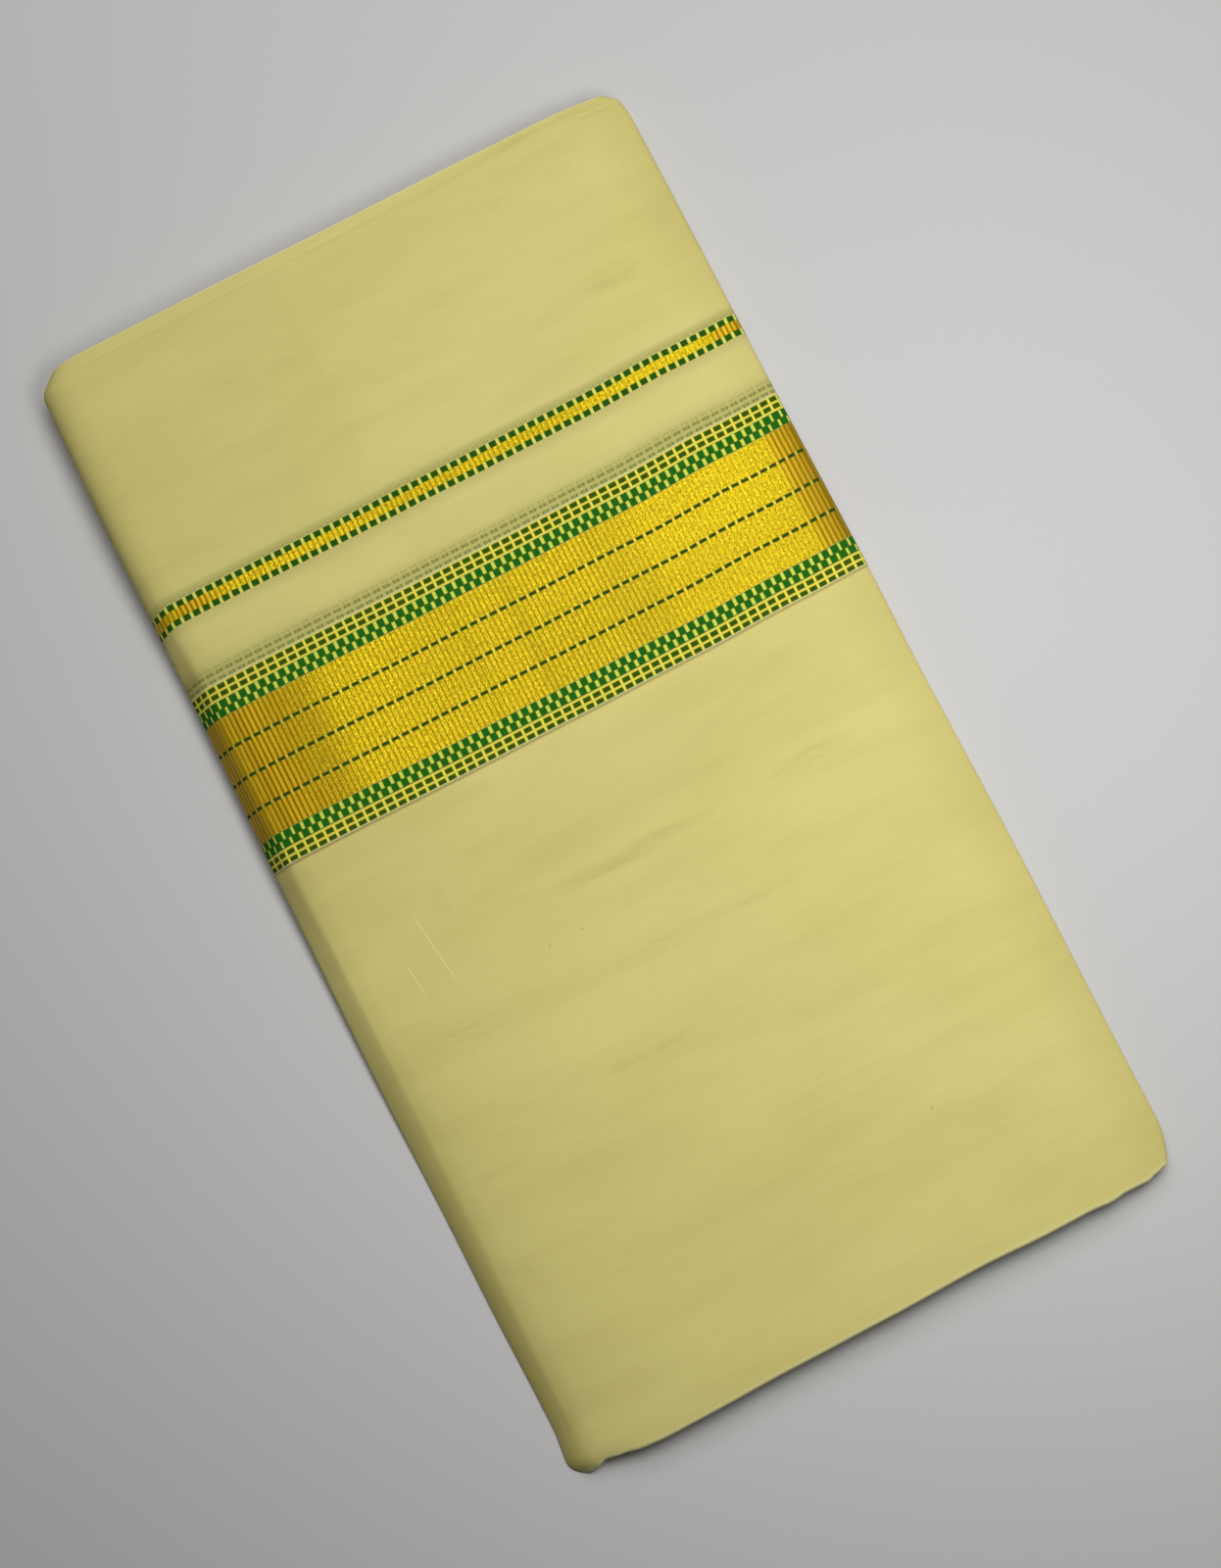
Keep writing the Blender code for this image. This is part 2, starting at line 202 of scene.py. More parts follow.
def pressed(x, down):
    """How far a face stands off its even form here: creases, and a slow swell."""
    rise = 0.00010 * (np.sin(47 * x + 31 * down) + np.sin(73 * down - 38 * x + 1.7))
    rise = rise + 0.00006 * np.sin(120 * x + 64 * down + 0.6)
    # The ends of hidden layers show as faint steps
    rise = rise + STEP_RISE * ease((x + 0.0225) / STEP_RUN) * (1 - ease((down - 0.190) / 0.008))
    rise = rise + STEP_RISE * ease((x - 0.0405) / STEP_RUN) * ease((down - 0.205) / 0.030)
    for (start_x, start), (end_x, end), high, half in CREASES:
        run_x, run = end_x - start_x, end - start
        length = math.hypot(run_x, run)
        share = ((x - start_x) * run_x + (down - start) * run) / length**2
        across = ((x - start_x) * run - (down - start) * run_x) / length
        ends = ease(share * 4) * ease((1 - share) * 4)
        rise = rise + high * ends * np.exp(-((across / half) ** 2))
    return rise


def uneven(x, z, down):
    """z of a section's points, with its top and its underside creased."""
    inside = ease((x + HALF_WIDTH - 0.002) / 0.014) * ease((HALF_WIDTH - 0.008 - x) / 0.014)
    top = z > TOP_ABOVE
    under = np.where(z < UNDER_BELOW, pressed(-x, PACK_LENGTH - down) + 0.0002, 0.0)
    ridge = np.exp(-(((x + HALF_WIDTH - RIDGE_IN) / RIDGE_HALF) ** 2)) * top
    ridge = RIDGE_RISE * ridge * ease((down - 0.205) / 0.03) * ease((0.428 - down) / 0.030)
    return z + ridge + inside * np.where(top, pressed(x, down), np.maximum(under, 0.0))


def height(y):
    """The pack's height away from its sides: more under the flap, most along the border."""
    full = PLAIN_HEIGHT + FLAP_RISE * ease((y - SELVEDGE_Y + 0.045) / 0.045)
    return full + BORDER_RISE * (1 - ease(np.abs(HIGHEST_Y - y) / 0.060))


def left_round(y):
    """Points once round the left side, for each y: (in, share of the height there)."""
    at = np.linspace(0, len(LEFT_ROUNDS[0]) - 1, ROUND_STEPS + 1)
    row = np.clip(at.astype(int), 0, len(LEFT_ROUNDS[0]) - 2)
    # Each round is a smooth curve through its own points
    t = (at - row)[:, None]
    rounds = []
    for points in np.array(LEFT_ROUNDS):
        before, start = points[np.maximum(row - 1, 0)], points[row]
        end, after = points[row + 1], points[np.minimum(row + 2, len(points) - 1)]
        bent = 2 * start + (end - before) * t + (2 * before - 5 * start + 4 * end - after) * t**2
        rounds.append(0.5 * (bent + (3 * start - before - 3 * end + after) * t**3))
    # Down the pack, each round gives way to the next
    down = HALF_LENGTH - y[:, None, None]
    facet, slope = ease((down - 0.070) / 0.060), ease((down - 0.230) / 0.100)
    shape = rounds[0] * (1 - facet) + rounds[1] * (facet - slope) + rounds[2] * slope
    return shape[..., 0], shape[..., 1]


def section(y, ends, inset, lowered=0.0, top_steps=TOP_STEPS, inner=None, corners=CORNERS):
    """The wrap's section at each y, from the slit between the right side's two bends along the
    underside, round the left side and back over the top: (x, z), a row of stations for each y.
    It lies inset from the pack's outside, with its top lowered, and follows the corners at the
    two ends. inner is the x where the cloth's way back in from the slit ends, for a layer that
    has one."""
    y = np.asarray(y, float)[:, None]
    inset = np.broadcast_to(inset, y.shape[:1])[:, None]
    full = height(y) - lowered
    right = HALF_WIDTH + along(RIGHT_SIDE, y) - inset - drawn_in(y, ends, corners[2:])
    left = inset - HALF_WIDTH - along(LEFT_SIDE, y) + drawn_in(y, ends, corners[:2])
    bend_start = right - BEND_DEPTH + inset
    low_side = full - RIGHT_DROP
    half_bend = (low_side - SLIT) / 4
    turn = np.linspace(0.5, -0.5, BEND_POINTS)[None, :] * math.pi
    # Pressed bends, squarer than half an ellipse
    bend_x = bend_start + (BEND_DEPTH - inset) * np.abs(np.cos(turn)) ** BEND_POWER
    bend_z = (half_bend - inset) * np.sign(turn) * np.abs(np.sin(turn)) ** BEND_POWER
    round_in, round_up = left_round(y[:, 0])
    round_x = left + round_in - inset * ease(round_in / LEFT_REACH)
    round_z = inset + round_up * (full - 2 * inset)
    under_t = np.linspace(0, 1, UNDER_STEPS + 1)[1:-1]
    under_x = bend_start + (round_x[:, :1] - bend_start) * under_t
    top_t = np.linspace(0, 1, top_steps + 1)[1:-1]
    top_x = round_x[:, -1:] + (bend_start - round_x[:, -1:]) * top_t
    xs = [bend_x, under_x, round_x, top_x, bend_x]
    drop = RIGHT_DROP * np.clip(1 - (bend_start - top_x) / RIGHT_REACH, 0, 1) ** 2
    zs = [half_bend + bend_z, inset + 0 * under_x, round_z, full - inset - drop]
    zs.append(low_side - half_bend + bend_z)
    if inner is not None:
        back_t = np.linspace(0, 1, BACK_STEPS + 1)[:-1]
        back_x = inner + (bend_start - inner) * back_t
        # Its height follows the left side's round, so it stays inside the passes over it
        upper = slice(len(round_up[0]) // 2, None)
        share = [
            np.interp(back - side, ins[upper], ups[upper])
            for back, side, ins, ups in zip(back_x, left, round_in, round_up)
        ]
        share = np.array(share) * 0.96
        xs = [back_x, *xs, back_x[:, ::-1]]
        low, high = 2 * half_bend - inset, low_side - 2 * half_bend + inset
        zs = [low * share, *zs, (high * share)[:, ::-1]]
    return np.concatenate(xs, axis=1), np.concatenate(zs, axis=1)


def sheet_object(name, x, y, z, u, v):
    """A grid whose points, and whose places on the flat cloth, are given row by row."""
    bpy.ops.object.select_all(action="DESELECT")
    bpy.ops.mesh.primitive_grid_add(x_subdivisions=x.shape[1] - 1, y_subdivisions=x.shape[0] - 1)
    made = bpy.context.object
    made.name = name
    mesh = made.data
    mesh.vertices.foreach_set("co", np.stack([x, y, z], axis=-1).ravel())
    corners = np.empty(len(mesh.loops), int)
    mesh.loops.foreach_get("vertex_index", corners)
    flat = np.stack([u.ravel(), v.ravel()], axis=-1)[corners]
    mesh.uv_layers[0].data.foreach_set("uv", flat.ravel())
    mesh.shade_smooth()
    mesh.update()
    return made


def round_length(x, z, before=0):
    """Distance along each row's section, equal to x at one of the top's points. before is how
    many points a section has ahead of its first bend."""
    steps = np.hypot(np.diff(x, axis=1), np.diff(z, axis=1))
    reached = np.concatenate([np.zeros((len(x), 1)), np.cumsum(steps, axis=1)], axis=1)
    middle = before + BEND_POINTS + UNDER_STEPS + ROUND_STEPS + 40
    return reached - reached[:, middle : middle + 1] + x[:, middle : middle + 1]


class Value:
    """A node's output. Arithmetic on it adds Math nodes."""

    def __init__(self, tree, socket):
        self.tree, self.socket = tree, socket

    def math(self, operation, *others, clamp=False):
        node = self.tree.nodes.new("ShaderNodeMath")
        node.operation, node.use_clamp = operation, clamp
        for given, slot in zip((self, *others), node.inputs):
            put(self.tree, given, slot)
        return Value(self.tree, node.outputs[0])

    def __add__(self, other):
        return self.math("ADD", other)

    def __sub__(self, other):
        return self.math("SUBTRACT", other)

    def __rsub__(self, other):
        return self.math("MULTIPLY_ADD", -1.0, other)

    def __mul__(self, other):
        return self.math("MULTIPLY", other)

    def __truediv__(self, other):
        return self.math("DIVIDE", other)

    def __abs__(self):
        return self.math("ABSOLUTE")

    __radd__ = __add__

    def within(self, half, soft):
        """1 where this distance is under half, 0 beyond it, over a soft edge."""
        return self.math("MULTIPLY_ADD", -1 / soft, half / soft + 0.5, clamp=True)

    def rises(self, start, end):
        """0 before start and 1 after end, evenly between."""
        return self.math("MULTIPLY_ADD", 1 / (end - start), -start / (end - start), clamp=True)

    def off(self, place, every=None):
        """Distance from a place, or from the nearest of a row of places."""
        return abs(self - place) if every is None else (self - place).math("PINGPONG", every / 2)

    def either(self, other):
        return self.math("MAXIMUM", other)


def put(tree, given, slot):
    if isinstance(given, Value):
        tree.links.new(given.socket, slot)
    elif hasattr(given, "__len__") and len(given) == 3 and slot.type == "RGBA":
        slot.default_value = (*given, 1)
    else:
        slot.default_value = given


class Shader:
    """One material's nodes."""

    def __init__(self, name):
        self.material = bpy.data.materials.new(name)
        self.material.use_nodes = True
        self.tree = self.material.node_tree
        self.surface = self.tree.nodes["Principled BSDF"]

    def node(self, kind, output, settings=(), **values):
        """Adds a node, with its settings set first, and gives one of its outputs."""
        made = self.tree.nodes.new("ShaderNode" + kind)
        for setting, value in dict(settings).items():
            setattr(made, setting, value)
        for slot, value in values.items():
            put(self.tree, value, made.inputs[slot.replace("_", " ")])
        return Value(self.tree, made.outputs[output])

    def mix(self, share, start, end):
        made = self.tree.nodes.new("ShaderNodeMix")
        made.data_type = "RGBA"
        for slot, value in ((0, share), (6, start), (7, end)):
            put(self.tree, value, made.inputs[slot])
        return Value(self.tree, made.outputs[2])

    def over(self, colour, *layers):
        """A colour with tones laid over it in turn, each given as (share, tone)."""
        for share, tone in layers:
            colour = self.mix(share, colour, tone)
        return colour

    def noise(self, where, size, detail, roughness, stretch):
        """Noise round 0.5, its grain about this many metres across, longer along a stretch."""
        scaled = self.node("VectorMath", 0, {"operation": "MULTIPLY"}, Vector=where)
        scaled.socket.node.inputs[1].default_value = [1 / (size * each) for each in stretch]
        return self.node(
            "TexNoise", 0, Vector=scaled, Scale=1.0, Detail=detail, Roughness=roughness
        )

    def finish(self, **values):
        for slot, value in values.items():
            put(self.tree, value, self.surface.inputs[slot.replace("_", " ")])
        return self.material


# The woven pattern repeats along the cloth after this far. The cotton's gaps come at a quarter
PERIOD = 0.003848
CREAM_DULL, CREAM = (0.712, 0.628, 0.222), (0.745, 0.662, 0.240)
STREAK_TONE = (0.55, 0.470, 0.150)
SIDE_SHADE_TONE = (0.48, 0.405, 0.120)
GAP_TONE = (0.42, 0.340, 0.080)
THREAD_TONE = (0.60, 0.50, 0.16)


def cloth_ground(shader, flat, marks):
    """The cream cotton's colour and its relief, with the flat cloth's two coordinates. Marks are
    the flat patches where its threads show most: (u, v, half length, half height, strength)."""
    parts = shader.node("SeparateXYZ", 0, Vector=flat).socket.node
    u, v = (Value(shader.tree, parts.outputs[axis]) for axis in (0, 1))
    gap = u.off(0.0, PERIOD / 4).within(0.00013, 0.00032)
    cloud = shader.noise(flat, 0.055, 2.0, 0.5, (1.7, 0.8, 1)).rises(0.32, 0.68)
    faint = shader.noise(flat, 0.030, 3.0, 0.6, (2.6, 0.5, 1))
    fine = shader.noise(flat, 0.00055, 1.0, 0.5, (0.7, 1.8, 1))
    patch = faint.rises(0.42, 0.70) * 0.45
    ragged = shader.noise(flat, 0.009, 3.0, 0.7, (2.6, 0.35, 1)).rises(0.30, 0.66)
    for place, down, half_long, half_high, strength in marks:
        across, up = (u - place) / half_long, (v - down) / half_high
        spot = (across * across + up * up).rises(1.9, 0.3)
        patch = patch.either(spot * ragged * strength)
    streak = shader.noise(flat, 0.0040, 3.0, 0.6, (2.8, 0.35, 1)).rises(0.50, 0.72)
    # Painted shade: both sides, where the cloth turns down, are darker
    shaded_sides = u.rises(-0.1030, -0.1105).either(u.rises(0.098, 0.116))
    colour = shader.over(
        shader.mix(cloud, CREAM_DULL, CREAM),
        ((streak * 0.10).either(patch * 0.22), STREAK_TONE),
        (shaded_sides * 0.26, SIDE_SHADE_TONE),
        (gap * (patch * 0.85 + 0.16), GAP_TONE),
        (fine.rises(0.35, 0.75) * 0.10, THREAD_TONE),
    )
    relief = fine * 0.00004 - gap * (patch * 0.00004 + 0.00001)
    return colour, relief, u, v


border = Shader("Cream cotton with a gold and green border")
flat = border.node("UVMap", 0, {"uv_map": "UVMap"})
FLAP_MARKS = (
    *((-0.055, 0.0330, 0.010, 0.0030, 0.5), (-0.035, 0.0380, 0.007, 0.0025, 0.4)),
    *((0.085, 0.0640, 0.012, 0.0045, 0.8), (0.057, 0.0670, 0.008, 0.0030, 0.5)),
    *((0.055, 0.0200, 0.010, 0.0025, 0.4), (0.083, 0.0200, 0.006, 0.0025, 0.4)),
    *((0.097, 0.0440, 0.006, 0.0020, 0.3), (-0.070, 0.0780, 0.020, 0.0040, 0.3)),
)
ground, relief, u, v = cloth_ground(border, flat, FLAP_MARKS)
# The hidden layers end under the flap, and it is a little duller over the thicker side
thicker = u.rises(-0.0220, -0.0232) * v.rises(0.100, 0.085)
ground = border.mix(thicker * 0.06, ground, (0.40, 0.34, 0.090))

# The pattern's rows are placed down from the turned-over edge, or by their distance from the
# border's middle, and its dashes by their distance from the middle of one repeat
BORDER_MIDDLE = 0.16370
STRIPE_MIDDLE = 0.10080
DASH_PLACE = 0.00362
SOFT = 0.00024


def rows_at(distance, *places):
    """1 on each of these rows, given as (place, half its height), and 0 between them."""
    found = 0.0
    for place, half in places:
        found = distance.off(place).within(half, SOFT).either(found)
    return found


middle_off, stripe_off = v.off(BORDER_MIDDLE), v.off(STRIPE_MIDDLE)
dash_off, rib_off = u.off(DASH_PLACE, PERIOD), u.off(DASH_PLACE, PERIOD / 2)
step_off = PERIOD / 2 - dash_off
gold_zone = rows_at(v, (BORDER_MIDDLE, 0.02260), (STRIPE_MIDDLE, 0.00195))
stripe_rows = rows_at(v, (0.0979, 0.00108), (0.1036, 0.00112))
lattice_zone = rows_at(middle_off, (0.03130, 0.00275))
blocks_zone = rows_at(middle_off, (0.02560, 0.00292))
thread = rows_at(middle_off, (0.02890, 0.00022), (0.03160, 0.00024))
pale_thread = rows_at(v, (0.12910, 0.00042), (0.19775, 0.00042))
aligned = rows_at(v, (0.13955, 0.00122), (0.19070, 0.00118))
offset = rows_at(v, (0.13665, 0.00138), (0.18790, 0.00132))
dashes = rows_at(middle_off.off(0.03160), (0.00132, 0.00088))
gold_dashes = rows_at(v.off(0.16372), (0.0, 0.00062), (0.01180, 0.00062))
# The bars are narrower where the border turns down at either side
turned = u.rises(-0.096, -0.108).either(u.rises(0.1060, 0.1100))
bar_half = 0.00062 - turned * 0.00020
bar = (step_off - bar_half).rises(SOFT / 2, -SOFT / 2)
offset_bar = (dash_off - bar_half).rises(SOFT / 2, -SOFT / 2)

# Gold threads lie over the cotton in ribs. Their glints are painted into the colour, a grain of
# dark and bright gold with bright flecks of painted glint
GOLD_DEEP, GOLD, PAINTED_GLINT_TONE = (0.355, 0.213, 0.0005), (1.0, 0.765, 0.006), (1.0, 0.92, 0.120)
RIB_GROOVE_SHADE = (0.26, 0.140, 0.001)
SIDE_GOLD_SHADE, SIDE_RIB_HIGHLIGHT = (0.40, 0.215, 0.001), (0.77, 0.520, 0.012)
SHADE_TONE = (0.27, 0.200, 0.001)
END_SHADE_TONE = (0.27, 0.150, 0.001)
PAINTED_HIGHLIGHT_TONE = (1.0, 0.70, 0.020)
grain = border.noise(flat, 0.00062, 2.0, 0.65, (0.75, 1.5, 1))
twist = border.noise(flat, 0.0016, 2.0, 0.6, (0.5, 1.6, 1))
wander = border.noise(flat, 0.010, 2.0, 0.5, (0.7, 2.0, 1))
glint = (grain * 0.75 + twist * 0.25).rises(0.375, 0.605)
# The grooves between the ribs are painted darker, painted shade, less of it towards the right
rib = rib_off.rises(0.00056, 0.00084)
rib_shade_fade = (u + wander * 0.060).rises(0.060, 0.090)
# Near both sides the gold is painted as in shade: darker, without the painted glints, with
# painted highlights along its ribs
near_sides = (u + wander * 0.026).rises(-0.072, -0.086).either(u.rises(0.1040, 0.1080))
side_gold_shaded = border.mix(rib_off.rises(0.00070, 0.00020), SIDE_GOLD_SHADE, SIDE_RIB_HIGHLIGHT)
# Painted shade: the gold is darker in places along the border, and darker and browner near its
# two ends
shade = u.rises(-0.058, -0.028) * (0.22 - u.rises(0.070, 0.095) * 0.08)
shade = shade.either(u.off(0.0).rises(0.0110, 0.0) * 0.38)
shade = shade.either(u.off(0.0400).rises(0.0240, 0.0060) * 0.34)
shade = shade + u.rises(-0.010, 0.020) * v.rises(0.155, 0.175) * 0.16
end_shade = u.off(-0.0860).rises(0.0160, 0.0050) * 0.42
end_shade = end_shade.either(u.rises(-0.1000, -0.1060) * 0.42)
end_shade = end_shade.either(u.rises(0.1065, 0.1120) * 0.52)
gold = border.over(
    border.mix(glint, GOLD_DEEP, GOLD),
    (grain.rises(0.59, 0.74) * 0.75, PAINTED_GLINT_TONE),
    (rib * (0.66 - rib_shade_fade * 0.52), RIB_GROOVE_SHADE),
    (near_sides, side_gold_shaded),
    (shade, SHADE_TONE),
    (end_shade * middle_off.rises(0.030, 0.024), END_SHADE_TONE),
    # A painted highlight along a line near the left end
    (u.off(-0.1100).rises(0.0050, 0.0015) * 0.35, PAINTED_HIGHLIGHT_TONE),
)

# Green cotton on yellow: rows of dashes, and rows of bars that take turns
DARK_GREEN, LEAF_GREEN = (0.066, 0.112, 0.005), (0.013, 0.130, 0.005)
BAR_TONE = (0.68, 0.72, 0.090)
LATTICE_TONES = (0.70, 0.58, 0.020), (0.86, 0.80, 0.110)
DASH_GREEN = (0.036, 0.092, 0.001)
THREAD_YELLOW = (0.80, 0.70, 0.130)
EDGING_TONES = (0.74, 0.72, 0.130), (0.018, 0.090, 0.001)
BETWEEN_TONE = (0.88, 0.80, 0.200)
GOLD_DASH_TONE = (0.030, 0.070, 0.001)
PALE_THREAD_TONE = (0.88, 0.85, 0.42)
lattice = border.over(
    border.mix(step_off.within(0.00030, SOFT), *LATTICE_TONES),
    (dashes * dash_off.within(0.00141, SOFT), DASH_GREEN),
    (thread * 0.90, THREAD_YELLOW),
)
blocks = border.over(
    DARK_GREEN,
    (aligned, border.mix(bar, LEAF_GREEN, BAR_TONE)),
    (offset, border.mix(offset_bar, LEAF_GREEN, BAR_TONE)),
)
edging = border.mix(dash_off.within(0.00134, SOFT), *EDGING_TONES)
gold_dash = gold_dashes * dash_off.within(0.00142, SOFT)

# Green threads of the turned-in cloth show through as rows of faint ticks
TURNED_IN_TONE = (0.22, 0.262, 0.046)
TICK_TONE = (0.16, 0.18, 0.035)
tick = u.off(0.00055, PERIOD / 4).within(0.00020, 0.00026)
spread = v.off(0.1270).off(0.0012).within(0.00068, 0.0004) * 0.9
spread = spread.either(v.off(0.1241).within(0.00050, 0.0004) * 0.45)
spread = spread.either(v.off(0.0960).within(0.00045, 0.0004) * 0.55)
pair = u.off(0.00063, PERIOD / 2).within(0.00048, 0.0004)
spread = spread * (0.40 + u.off(0.00160, PERIOD).within(0.00110, 0.0006) * 0.35 + pair * 0.35)
outside = (1 - lattice_zone) * (1 - stripe_rows)
near = v.off(0.1272).rises(0.0090, 0.0015) * 0.40
near = near.either(stripe_off.rises(0.0085, 0.0045) * 0.45)
near = near.either(v.off(0.1985).rises(0.0050, 0.0) * 0.30)
near = near * (1 - gold_zone) * (1 - blocks_zone) * outside
band = v.off(0.1260).rises(0.0042, 0.0022) * 0.18
band = band.either(v.off(0.0955).rises(0.0022, 0.0006) * 0.26) * outside

colour = border.over(
    ground,
    (gold_zone, gold),
    (stripe_rows, edging),
    (lattice_zone, lattice),
    (blocks_zone, blocks),
    (gold_dashes * 0.22, BETWEEN_TONE),
    (gold_dash, GOLD_DASH_TONE),
    (pale_thread * 0.60, PALE_THREAD_TONE),
    (band.either(spread * 0.86), TURNED_IN_TONE),
    (tick * spread.either(near), TICK_TONE),
)
metal = gold_zone * (1 - gold_dash) * (1 - stripe_rows)
relief = relief + metal * (glint * 0.00003 - rib * 0.00010)
relief = relief + metal * near_sides * rib_off.rises(0.0009, 0.0) * 0.00010
bump = border.node("Bump", 0, Strength=0.8, Distance=1.0, Height=relief)
border.surface.inputs["Specular IOR Level"].default_value = 0.15
border = border.finish(
    Base_Color=colour, Roughness=0.9 - metal * 0.44, Metallic=metal * 0.45, Normal=bump
)

# Its folded end slopes softly down on to the layers under it
ROW_STEP = 0.0015
slope = np.linspace(0, 1, 12)
rows = np.concatenate([
    np.arange(SELVEDGE_Y, 0.1985, ROW_STEP), FLAP_FOLD_Y - np.linspace(0.011, 0.0040, 7),
    FLAP_FOLD_Y + 0.0004 - 0.0038 * (1 - slope),
])
insets = np.zeros(len(rows))
insets[-len(slope) :] = 0.0014 * slope**2
x, z = section(rows, (FLAP_FOLD_Y, -NO_END), insets, corners=FLAP_CORNERS)
y = np.broadcast_to(rows[:, None], x.shape)
u = round_length(x, z)
down = HALF_LENGTH - y
y = y + skew(x, down)
flap = sheet_object("border_flap_cloth", x, wavy_y(x, y), uneven(x, z, down), u, down)
wall = flap.modifiers.new("Cloth", "SOLIDIFY")
wall.thickness, wall.offset = CLOTH, -1
flap.data.materials.append(border)
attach(flap, "root")
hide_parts("border_flap")

# ---- The lower panel ----------------------------------------------------------------------
# The outer cloth below the flap, all round the pack: two layers of the same cotton, plain. It
# runs on a little way under the flap's selvedge, and only folding holds it.

cotton = Shader("Cream cotton")
flat = cotton.node("UVMap", 0, {"uv_map": "UVMap"})
PANEL_MARKS = (
    *((-0.004, 0.2480, 0.030, 0.0030, 1.0), (-0.010, 0.2340, 0.019, 0.0012, 0.6)),
    *((0.067, 0.2470, 0.015, 0.0040, 0.7), (-0.085, 0.2780, 0.024, 0.0060, 0.7)),
    *((0.003, 0.2810, 0.040, 0.0030, 0.7), (-0.029, 0.3120, 0.016, 0.0026, 1.0)),
    *((-0.082, 0.3120, 0.021, 0.0075, 0.45), (-0.088, 0.3250, 0.013, 0.0025, 0.5)),
    *((0.011, 0.3130, 0.029, 0.0040, 0.4), (0.022, 0.3530, 0.021, 0.0160, 0.5)),
    *((0.067, 0.3850, 0.008, 0.0090, 0.45), (0.070, 0.3420, 0.024, 0.0040, 0.4)),
    *((-0.070, 0.2380, 0.003, 0.0120, 0.45), (0.067, 0.2260, 0.024, 0.0025, 0.35)),
    *((0.020, 0.3850, 0.030, 0.0120, 0.4), (0.075, -0.9970, 0.034, 0.0017, 1.0)),
)
ground, relief, u, v = cloth_ground(cotton, flat, PANEL_MARKS)
SLUB_TONE = (0.84, 0.78, 0.36)
SPECK_TONE = (0.20, 0.14, 0.05)
EDGE_HIGHLIGHT_TONE = (0.90, 0.86, 0.42)
LEFT_SHADE_TONE = (0.38, 0.325, 0.085)
# Two slubs, threads that stand up in the cloth and are a little paler: (u, v, lean, length)
SLUBS = ((-0.0806, 0.2315, 0.130, 0.030), (-0.0903, 0.2460, 0.119, 0.016))
for start_u, start_v, lean, length in SLUBS:
    across = abs(u - start_u - (v - start_v) * lean).within(0.00030, 0.00030)
    slub = (v - start_v).rises(0.0, 0.004) * (v - start_v).rises(length, length - 0.006) * across
    ground = cotton.mix(slub * 0.55, ground, SLUB_TONE)
    relief = relief + slub * 0.00010
for place, down in ((-0.037, 0.074), (-0.0425, 0.264), (-0.030, 0.264), (0.049, 0.373)):
    speck = (abs(u - place) + abs(v - down)).within(0.00042, 0.0003)
    ground = cotton.mix(speck * 0.6, ground, SPECK_TONE)
# The turned edges are painted lighter, a painted highlight, and the long left side by the bottom
# fold darker, painted shade
edge_highlight = v.rises(0.4280, 0.4291) * v.rises(0.60, 0.50)
edge_highlight = edge_highlight.either(v.off(-1.0).within(0.0005, 0.0005))
# Painted shade along the long left side by the bottom fold
left_shade = u.rises(-0.1085, -0.1185) * v.rises(0.24, 0.35)
ground = cotton.over(ground, (edge_highlight * 0.60, EDGE_HIGHLIGHT_TONE), (left_shade * 0.75, LEFT_SHADE_TONE))
bump = cotton.node("Bump", 0, Strength=0.6, Distance=1.0, Height=relief)
cotton.surface.inputs["Sheen Weight"].default_value = 0.06
cotton.surface.inputs["Specular IOR Level"].default_value = 0.15
cotton = cotton.finish(Base_Color=ground, Roughness=0.9, Normal=bump)

EDGE_ROUND = 0.0015
# How much lower than the flap the panel and the layers by the bottom fold lie
PANEL_LOWER = 0.0009
turn = np.radians(np.linspace(90, 0, 9))
rows = np.concatenate([
    EDGE_ROUND * (1 - np.sin(turn)) - HALF_LENGTH, np.linspace(0.0022, 0.012, 8) - HALF_LENGTH,
    np.arange(-0.2015, 0.0150, ROW_STEP), [0.0158, 0.0180, 0.0300],
])
insets = np.zeros(len(rows))
insets[: len(turn)] = EDGE_ROUND * (1 - np.cos(turn))
x, z = section(rows, (NO_END, -HALF_LENGTH), insets, lowered=PANEL_LOWER)
y = np.broadcast_to(rows[:, None], x.shape)
down = HALF_LENGTH - y
y = y + skew(x, down) * ease((y + 0.06) / 0.06)
u = round_length(x, z)
panel = sheet_object("lower_panel_cloth", x, wavy_y(x, y), uneven(x, z, down), u, down)
wall = panel.modifiers.new("Cloth", "SOLIDIFY")
wall.thickness, wall.offset = CLOTH, -1
panel.data.materials.append(cotton)
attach(panel, "root")
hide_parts("lower_panel")

# ---- The layers inside --------------------------------------------------------------------
# The rest of the cloth, which shows only where the folds end at the top and bottom edges:
# sixteen passes, each turned over on itself at the edge, nested round the two sides.

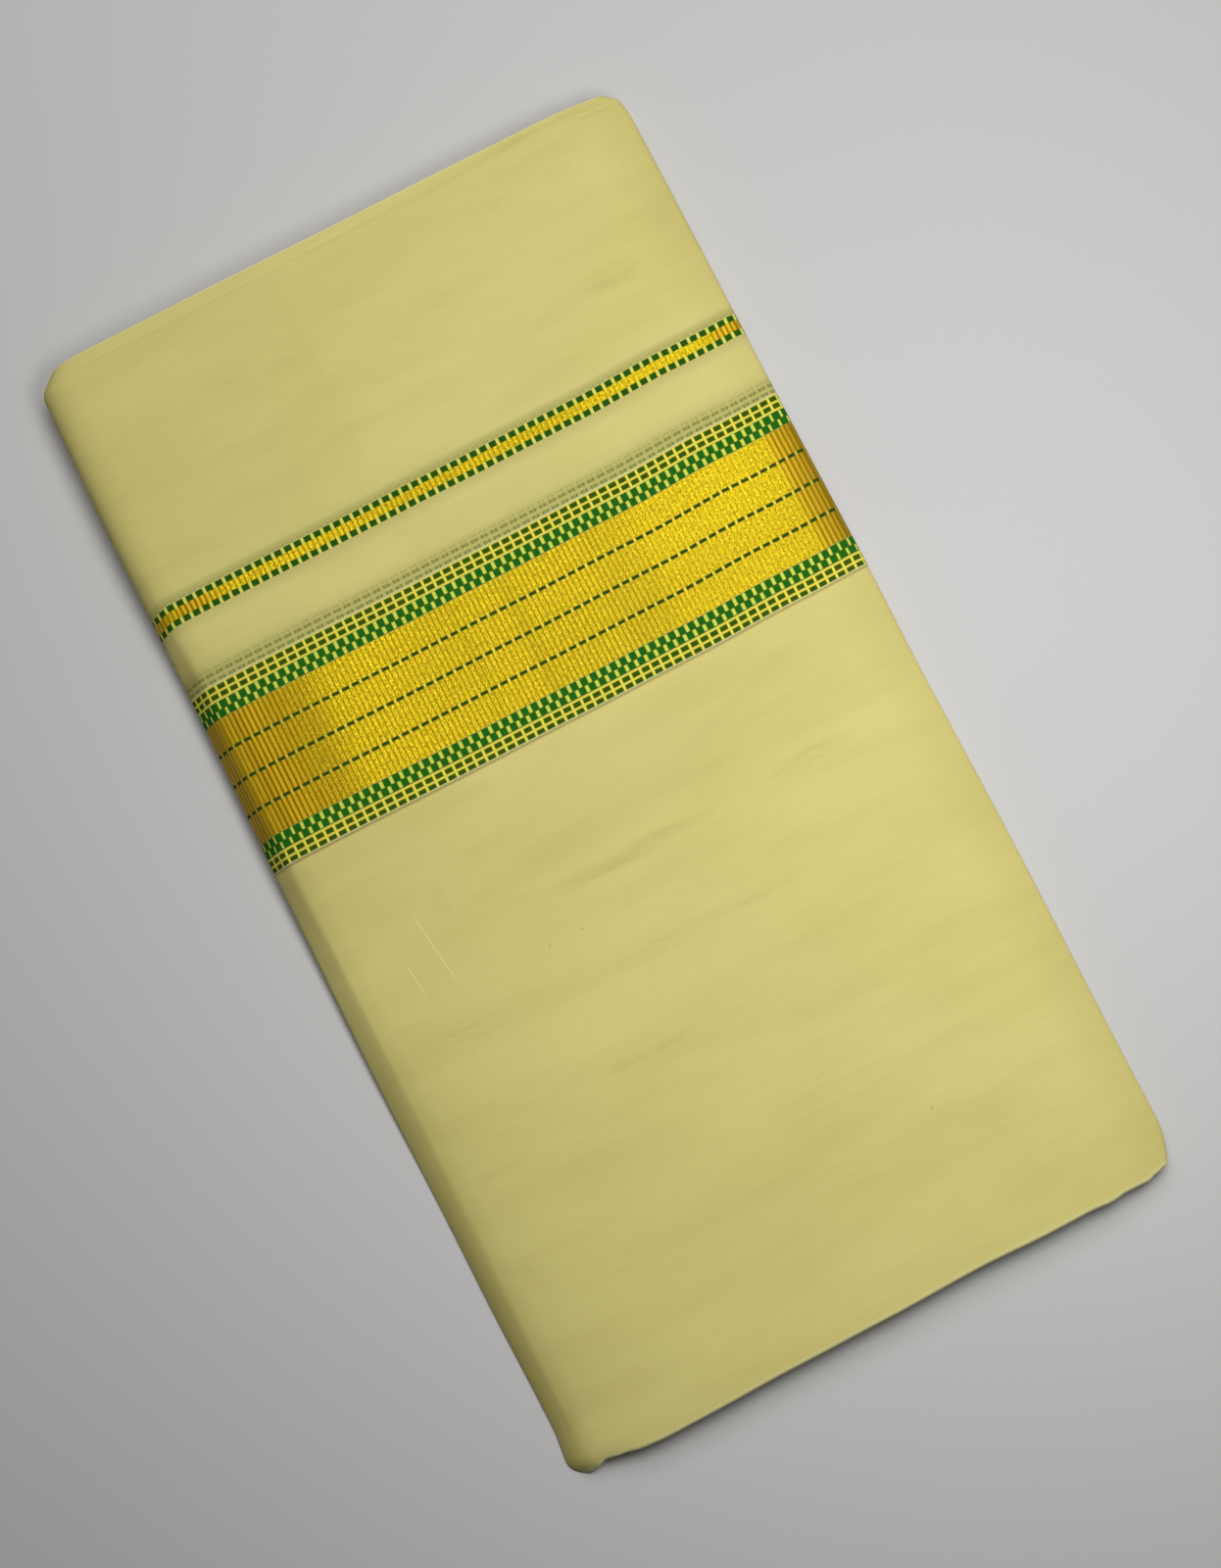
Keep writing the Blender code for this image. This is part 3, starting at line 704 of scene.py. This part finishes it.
PASSES = 16
INNER_X = 0.009 - HALF_WIDTH
NEAR_EDGE = np.array([0.0200, 0.0150, 0.0120, 0.0098, 0.0080, 0.0064, 0.0050, 0.0038, 0.0029])
level = np.ones(len(NEAR_EDGE))
arc = np.radians(np.linspace(-90, 90, 11))
leaves = []
for end in (1, -1):
    pitch = (PLAIN_HEIGHT + FLAP_RISE if end > 0 else PLAIN_HEIGHT) / PASSES
    half = pitch * 0.46
    # One leaf crosses the pack four times: underneath, over the top, and back in from each
    for layer in range(PASSES // 4):
        # At the top the outermost layer stands out furthest, at the bottom the panel's fold does
        out = 0.0008 + 0.0004 * ((layer * 2.3) % 1) if layer else 0.0
        out = out if end > 0 else out + 0.0010
        nose = out + half * 1.6 * (1 - np.cos(arc))
        rows = end * (HALF_LENGTH - np.concatenate([NEAR_EDGE, nose, NEAR_EDGE[::-1]]))
        centre = pitch * (layer + 0.5) + (CLOTH if layer == 0 else 0.0)
        insets = centre + half * np.concatenate([-level, np.sin(arc), level])
        if end > 0:
            rows, insets = rows[::-1], insets[::-1]
        lowered = 0.0 if end > 0 else PANEL_LOWER
        x, z = section(rows, (HALF_LENGTH, -HALF_LENGTH), insets, lowered, 60, INNER_X)
        y = np.broadcast_to(rows[:, None], x.shape)
        # On the flat cloth these layers are kept a metre away from the outer cloth
        u, v = round_length(x, z, BACK_STEPS), HALF_LENGTH - y - end
        leaves.append(sheet_object(f"leaf_{end}_{layer}", x, wavy_y(x, y), z, u, v))
bpy.ops.object.select_all(action="DESELECT")
for leaf in leaves:
    leaf.select_set(True)
bpy.context.view_layer.objects.active = leaves[0]
bpy.ops.object.join()
layers = bpy.context.object
layers.name = "folded_layers"
layers.data.materials.append(cotton)
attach(layers, "root")
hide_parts("inner_folds")

# ---- Table, light and camera --------------------------------------------------------------
# A pale table, a soft lamp over the right side, a wide ceiling light beyond it, and a little
# even light from all round.

bpy.ops.mesh.primitive_plane_add(size=6, location=(0, 0, -0.0005))
floor = bpy.context.object
floor.name = "table"
pale = Shader("Pale table").finish(Base_Color=(0.62, 0.61, 0.60), Roughness=0.9)
floor.data.materials.append(pale)

for name, size, energy, place in (
    ("Lamp", 0.28, 1.15, (0.145, -0.070, 0.45)), ("Ceiling", 1.5, 15.0, (0.37, 0.80, 1.20)),
):
    light = bpy.data.lights.new(name, "AREA")
    light.shape, light.size, light.energy = "DISK", size, energy
    light_object = bpy.data.objects.new(name, light)
    light_object.location = place
    bpy.context.scene.collection.objects.link(light_object)

world = bpy.data.worlds.new("Studio")
world.use_nodes = True
world.node_tree.nodes["Background"].inputs["Color"].default_value = (1, 1, 1, 1)
world.node_tree.nodes["Background"].inputs["Strength"].default_value = 0.03
bpy.context.scene.world = world
bpy.context.scene.view_settings.view_transform = "Standard"

camera = bpy.data.cameras.new("Camera")
camera.sensor_width, camera.lens, camera.clip_start = 36, 54.867, 0.01
right = mathutils.Vector((0.89132, -0.45333, -0.00634)).normalized()
up = mathutils.Vector((0.45102, 0.88518, 0.11416))
up = (up - right * up.dot(right)).normalized()
facing = mathutils.Matrix((right, up, right.cross(up))).transposed().to_4x4()
camera_object = bpy.data.objects.new("Camera", camera)
camera_object.matrix_world = mathutils.Matrix.Translation((-0.03683, -0.09554, 0.8384)) @ facing
bpy.context.scene.collection.objects.link(camera_object)
bpy.context.scene.camera = camera_object
